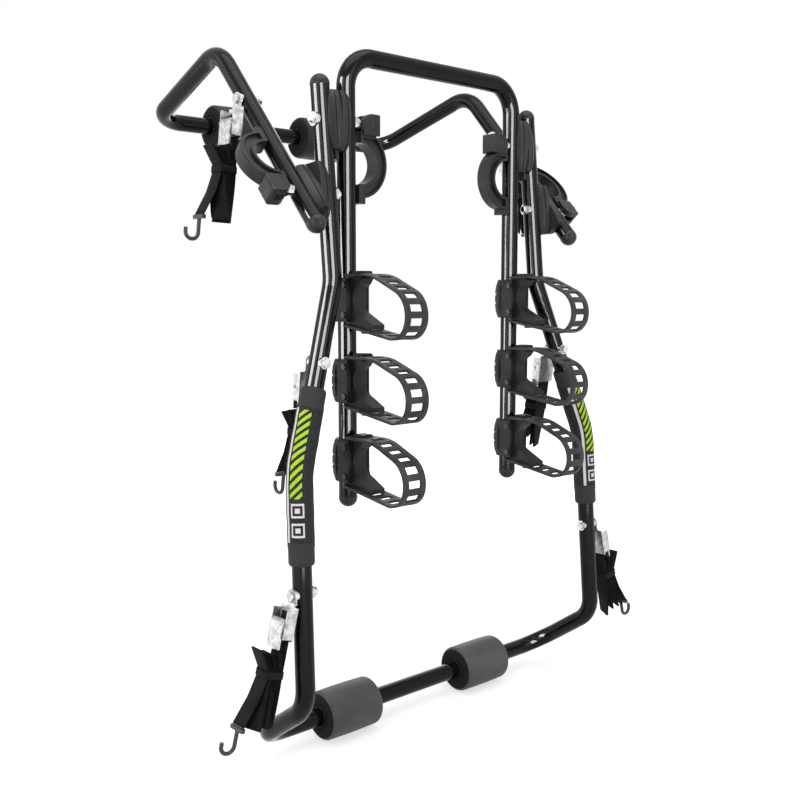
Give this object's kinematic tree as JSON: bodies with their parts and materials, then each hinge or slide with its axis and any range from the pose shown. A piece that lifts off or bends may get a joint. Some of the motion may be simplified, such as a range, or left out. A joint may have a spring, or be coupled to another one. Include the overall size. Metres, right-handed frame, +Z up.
{
  "type": "strap-on boot bike rack",
  "caption": "Strap-on car boot rack: a bent-tube frame with foam pads, a folding upper support, a hinged pair of bike arms with cradles and straps with cam buckles.",
  "frame": {"origin": "middle of the lower crossbar, on the tube's axis, between the two lower pads", "axes": "+X across the car to the right as seen from behind the rack, +Y towards the car, +Z up"},
  "size_m": [0.8098, 0.5695, 0.9753],
  "materials": {
    "black_tube": "gloss black powder coat",
    "end_cap": "semi-gloss",
    "foam": "smooth closed-cell foam skin",
    "sleeve": "matte padded cover",
    "knuckle": "satin",
    "lever": "satin",
    "cradle": "satin",
    "screw": "blackened",
    "ladder_rubber": "satin",
    "webbing": "woven",
    "hook_coating": "vinyl dipped",
    "buckle_steel": "zinc plated",
    "bright_steel": "bright plated"
  },
  "bodies": {
    "main_frame": {"lower_frame_tube": "black_tube", "lower_frame_end_caps": "end_cap", "lower_roller_left": "foam", "lower_roller_right": "foam", "sleeve_left": "sleeve", "sleeve_right": "sleeve", "frame_knuckles_upper": "knuckle", "frame_knuckles_lower": "knuckle", "pivot_saddles": "bright_steel", "strap_bolts_frame": "bright_steel"},
    "bike_arms": {"arm_hoop_tube": "black_tube", "arm_end_caps": "end_cap", "arm_knuckles": "knuckle", "pivot_bolts_upper": "bright_steel", "pivot_nuts_upper": "bright_steel", "cam_pins_upper": "screw", "cam_washers_upper": "bright_steel", "cradle_seats": "cradle", "cradle_shells": "cradle", "cradle_screws": "screw", "ladder_straps_left": "ladder_rubber", "ladder_straps_right": "ladder_rubber"},
    "upper_frame": {"upper_frame_tube": "black_tube", "upper_frame_end_caps": "end_cap", "upper_roller_left": "foam", "upper_roller_right": "foam", "upper_knuckles": "knuckle", "pivot_bolts_lower": "bright_steel", "pivot_nuts_lower": "bright_steel", "cam_pins_lower": "screw", "cam_washers_lower": "bright_steel", "strap_bolts_upper": "bright_steel"},
    "cam_lever_upper_left": {"cam_lever_upper_left": "lever"},
    "cam_lever_upper_right": {"cam_lever_upper_right": "lever"},
    "cam_lever_lower_left": {"cam_lever_lower_left": "lever"},
    "cam_lever_lower_right": {"cam_lever_lower_right": "lever"},
    "strap_top_left": {"buckle_top_left": "buckle_steel", "webbing_top_left": "webbing", "hook_top_left": "hook_coating"},
    "buckle_cam_top_left": {"buckle_cam_top_left": "buckle_steel"},
    "strap_top_right": {"buckle_top_right": "buckle_steel", "webbing_top_right": "webbing", "hook_top_right": "hook_coating"},
    "buckle_cam_top_right": {"buckle_cam_top_right": "buckle_steel"},
    "strap_side_left": {"buckle_side_left": "buckle_steel", "webbing_side_left": "webbing", "hook_side_left": "hook_coating"},
    "buckle_cam_side_left": {"buckle_cam_side_left": "buckle_steel"},
    "strap_side_right": {"buckle_side_right": "buckle_steel", "webbing_side_right": "webbing", "hook_side_right": "hook_coating"},
    "buckle_cam_side_right": {"buckle_cam_side_right": "buckle_steel"},
    "strap_bottom_left": {"buckle_bottom_left": "buckle_steel", "webbing_bottom_left": "webbing", "hook_bottom_left": "hook_coating"},
    "buckle_cam_bottom_left": {"buckle_cam_bottom_left": "buckle_steel"},
    "strap_bottom_right": {"buckle_bottom_right": "buckle_steel", "webbing_bottom_right": "webbing", "hook_bottom_right": "hook_coating"},
    "buckle_cam_bottom_right": {"buckle_cam_bottom_right": "buckle_steel"}
  },
  "joints": [
    {"name": "arms_fold", "type": "hinge", "parent": "main_frame", "child": "bike_arms", "pos_m": [0, -0.04207, 0.822], "axis": [-1, 0, 0], "range_deg": [0, 100]},
    {"name": "upper_frame_fold", "type": "hinge", "parent": "main_frame", "child": "upper_frame", "pos_m": [0, -0.05112, 0.728], "axis": [1, 0, 0], "range_deg": [-98, 22]},
    {"name": "cam_lever_upper_left_turn", "type": "hinge", "parent": "bike_arms", "child": "cam_lever_upper_left", "pos_m": [-0.125, -0.04207, 0.822], "axis": [0, -1, 0], "range_deg": [0, 90]},
    {"name": "cam_lever_upper_right_turn", "type": "hinge", "parent": "bike_arms", "child": "cam_lever_upper_right", "pos_m": [0.125, -0.04207, 0.822], "axis": [0, 1, 0], "range_deg": [0, 90]},
    {"name": "cam_lever_lower_left_turn", "type": "hinge", "parent": "upper_frame", "child": "cam_lever_lower_left", "pos_m": [-0.277, -0.05112, 0.728], "axis": [0, -0.7431, 0.6691], "range_deg": [0, 90]},
    {"name": "cam_lever_lower_right_turn", "type": "hinge", "parent": "upper_frame", "child": "cam_lever_lower_right", "pos_m": [0.277, -0.05112, 0.728], "axis": [0, 0.7431, -0.6691], "range_deg": [0, 90]},
    {"name": "strap_top_left_swing", "type": "hinge", "parent": "upper_frame", "child": "strap_top_left", "pos_m": [-0.243, 0.06397, 0.85582], "axis": [1, 0, 0], "range_deg": [-22, 98]},
    {"name": "buckle_cam_top_left_press", "type": "hinge", "parent": "strap_top_left", "child": "buckle_cam_top_left", "pos_m": [-0.27219, 0.06397, 0.82316], "axis": [0, 1, 0], "range_deg": [0, 70], "stiffness_Nm_per_rad": 0.2},
    {"name": "strap_top_right_swing", "type": "hinge", "parent": "upper_frame", "child": "strap_top_right", "pos_m": [0.243, 0.06397, 0.85582], "axis": [1, 0, 0], "range_deg": [-22, 98]},
    {"name": "buckle_cam_top_right_press", "type": "hinge", "parent": "strap_top_right", "child": "buckle_cam_top_right", "pos_m": [0.27219, 0.06397, 0.82316], "axis": [0, -1, 0], "range_deg": [0, 70], "stiffness_Nm_per_rad": 0.2},
    {"name": "strap_side_left_swing", "type": "hinge", "parent": "main_frame", "child": "strap_side_left", "pos_m": [-0.23277, -0.07678, 0.512], "axis": [0, 1, 0], "range_deg": [-8, 60]},
    {"name": "buckle_cam_side_left_press", "type": "hinge", "parent": "strap_side_left", "child": "buckle_cam_side_left", "pos_m": [-0.23277, -0.04645, 0.47986], "axis": [1, 0, 0], "range_deg": [0, 70], "stiffness_Nm_per_rad": 0.2},
    {"name": "strap_side_right_swing", "type": "hinge", "parent": "main_frame", "child": "strap_side_right", "pos_m": [0.23277, -0.07678, 0.512], "axis": [0, -1, 0], "range_deg": [-8, 60]},
    {"name": "buckle_cam_side_right_press", "type": "hinge", "parent": "strap_side_right", "child": "buckle_cam_side_right", "pos_m": [0.23277, -0.04645, 0.47986], "axis": [1, 0, 0], "range_deg": [0, 70], "stiffness_Nm_per_rad": 0.2},
    {"name": "strap_bottom_left_swing", "type": "hinge", "parent": "main_frame", "child": "strap_bottom_left", "pos_m": [-0.28157, -0.10569, 0.226], "axis": [1, 0, 0], "range_deg": [-70, 70]},
    {"name": "buckle_cam_bottom_left_press", "type": "hinge", "parent": "strap_bottom_left", "child": "buckle_cam_bottom_left", "pos_m": [-0.31517, -0.10569, 0.19567], "axis": [0, 1, 0], "range_deg": [0, 70], "stiffness_Nm_per_rad": 0.2},
    {"name": "strap_bottom_right_swing", "type": "hinge", "parent": "main_frame", "child": "strap_bottom_right", "pos_m": [0.28157, -0.10569, 0.226], "axis": [1, 0, 0], "range_deg": [-70, 70]},
    {"name": "buckle_cam_bottom_right_press", "type": "hinge", "parent": "strap_bottom_right", "child": "buckle_cam_bottom_right", "pos_m": [0.31517, -0.10569, 0.19567], "axis": [0, -1, 0], "range_deg": [0, 70], "stiffness_Nm_per_rad": 0.2}
  ],
  "couplings": [
    {"joint": "strap_top_left_swing", "follows": "upper_frame_fold", "ratio": -1},
    {"joint": "strap_top_right_swing", "follows": "upper_frame_fold", "ratio": -1}
  ]
}
